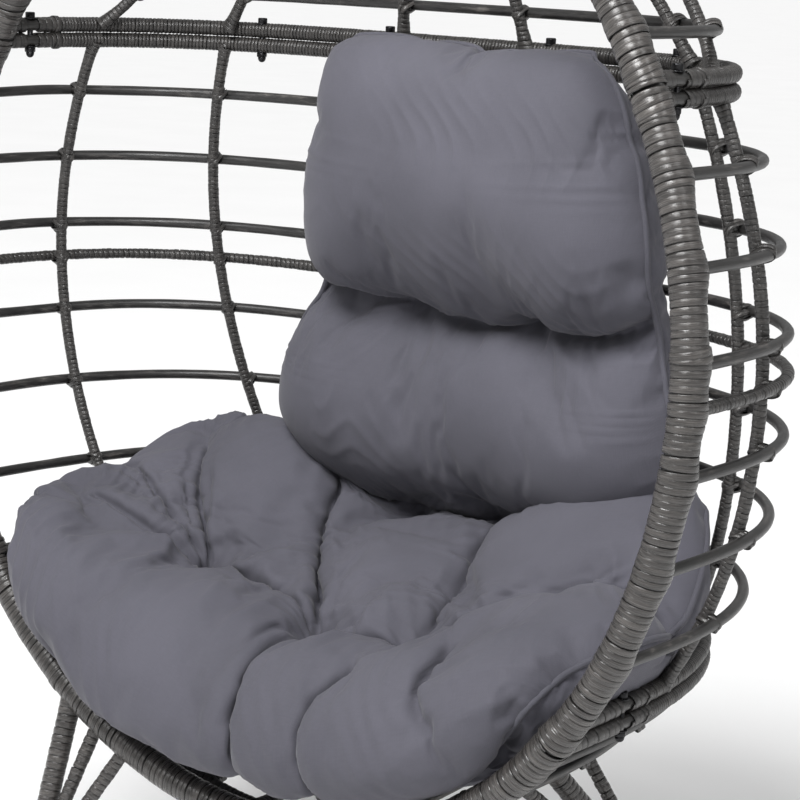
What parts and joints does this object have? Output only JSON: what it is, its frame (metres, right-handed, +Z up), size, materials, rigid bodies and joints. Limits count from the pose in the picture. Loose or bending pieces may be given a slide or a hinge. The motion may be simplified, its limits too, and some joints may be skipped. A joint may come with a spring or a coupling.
{
  "type": "egg basket chair",
  "caption": "Free-standing egg-shaped wicker basket chair on splayed legs, bolted from hood, middle and bowl sections, with a lift-out tufted seat and back cushion.",
  "frame": {"origin": "centre of the box's bottom, on the floor", "axes": "+Z up, the chair faces -Y, X across its width"},
  "size_m": [0.966, 0.5268, 1.265],
  "materials": {
    "wicker_wide": "dark grey-brown woven strip, satin",
    "wicker_fine": "dark grey fine wrapped strip, satin",
    "rod_sheath": "grey-brown streaked sheath, satin",
    "black_bolts": "black oxide, semi-gloss",
    "foot_rubber": "matt moulded",
    "cushion_cloth": "grey plain-woven polyester, matt"
  },
  "bodies": {
    "basket": {"hood_arch": "wicker_wide", "hood_rail": "wicker_fine", "hood_rod_1": "rod_sheath", "hood_rod_2": "rod_sheath", "hood_rod_3": "rod_sheath", "hood_rod_4": "rod_sheath", "hood_rib_left_rear": "wicker_fine", "hood_rib_left_side": "wicker_fine", "hood_rib_left_front": "wicker_fine", "hood_rib_right_rear": "wicker_fine", "hood_rib_right_side": "wicker_fine", "hood_rib_right_front": "wicker_fine", "middle_tube_left": "wicker_wide", "middle_tube_right": "wicker_wide", "middle_top_rail": "wicker_fine", "middle_bottom_rail": "wicker_fine", "middle_rod_1": "rod_sheath", "middle_rod_2": "rod_sheath", "middle_rod_3": "rod_sheath", "middle_rod_4": "rod_sheath", "middle_rod_5": "rod_sheath", "middle_rod_6": "rod_sheath", "middle_rod_7": "rod_sheath", "middle_rib_left_rear": "wicker_fine", "middle_rib_left_side": "wicker_fine", "middle_rib_left_front": "wicker_fine", "middle_rib_right_rear": "wicker_fine", "middle_rib_right_side": "wicker_fine", "middle_rib_right_front": "wicker_fine", "bowl_arc": "wicker_wide", "bowl_inner_arc": "wicker_fine", "bowl_rail": "wicker_fine", "bowl_rod_1": "rod_sheath", "bowl_rod_2": "rod_sheath", "bowl_base_ring": "wicker_fine", "bowl_rib_left_rear": "wicker_fine", "bowl_rib_left_side": "wicker_fine", "bowl_rib_left_front": "wicker_fine", "bowl_rib_right_rear": "wicker_fine", "bowl_rib_right_side": "wicker_fine", "bowl_rib_right_front": "wicker_fine", "bowl_slats": "rod_sheath", "leg_front_left": "wicker_wide", "leg_front_right": "wicker_wide", "leg_rear_left": "wicker_wide", "leg_rear_right": "wicker_wide", "leg_brace_front_left_1": "wicker_wide", "leg_brace_front_left_2": "wicker_wide", "leg_brace_front_right_1": "wicker_wide", "leg_brace_front_right_2": "wicker_wide", "leg_brace_rear_left_1": "wicker_wide", "leg_brace_rear_left_2": "wicker_wide", "leg_brace_rear_right_1": "wicker_wide", "leg_brace_rear_right_2": "wicker_wide", "foot_caps": "foot_rubber", "joint_bolts": "black_bolts", "joint_nuts": "black_bolts"},
    "cushion": {"seat_cushion": "cushion_cloth", "back_cushion": "cushion_cloth", "head_cushion": "cushion_cloth"}
  },
  "joints": [
    {"name": "cushion_lift", "type": "slide", "parent": "basket", "child": "cushion", "axis": [0, -0.9397, 0.342], "range_m": [0, 0.4]}
  ]
}
